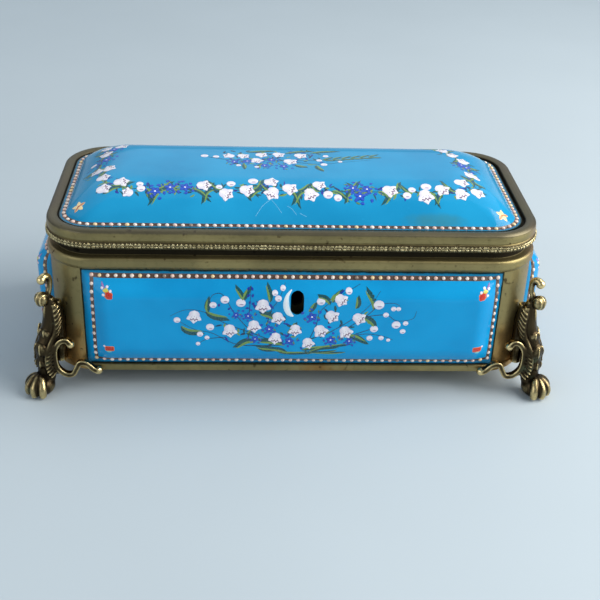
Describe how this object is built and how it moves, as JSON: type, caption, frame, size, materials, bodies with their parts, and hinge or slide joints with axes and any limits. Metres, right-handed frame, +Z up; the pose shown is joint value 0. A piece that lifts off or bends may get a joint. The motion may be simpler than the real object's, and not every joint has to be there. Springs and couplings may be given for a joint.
{
  "type": "jewelry box",
  "caption": "Oblong brass jewelry box on lion-paw feet, with domed painted enamel plaques and a hinged lid.",
  "frame": {"origin": "centre of the ground that the four paws stand on", "axes": "+Z up, the front with the keyhole faces -Y, +X along the box to the viewer's right"},
  "size_m": [0.2444, 0.121, 0.093],
  "materials": {
    "aged_brass": "aged, softly polished",
    "blue_enamel": "glossy fired enamel on sheet metal",
    "cast_bronze": "dark patinated casting"
  },
  "bodies": {
    "box": {"body_frame": "aged_brass", "front_plaque": "blue_enamel", "back_plaque": "blue_enamel", "left_plaque": "blue_enamel", "right_plaque": "blue_enamel", "foot_front_left": "cast_bronze", "foot_front_right": "cast_bronze", "foot_back_left": "cast_bronze", "foot_back_right": "cast_bronze", "hinge_left_body_leaf": "aged_brass", "hinge_left_pin": "aged_brass", "hinge_right_body_leaf": "aged_brass", "hinge_right_pin": "aged_brass"},
    "lid": {"lid_frame": "aged_brass", "lid_plaque": "blue_enamel", "hinge_left_lid_leaf": "aged_brass", "hinge_right_lid_leaf": "aged_brass"}
  },
  "joints": [
    {"name": "lid_hinge", "type": "hinge", "parent": "box", "child": "lid", "pos_m": [0, 0.0522, 0.0702], "axis": [-1, 0, 0], "range_deg": [0, 100]}
  ]
}
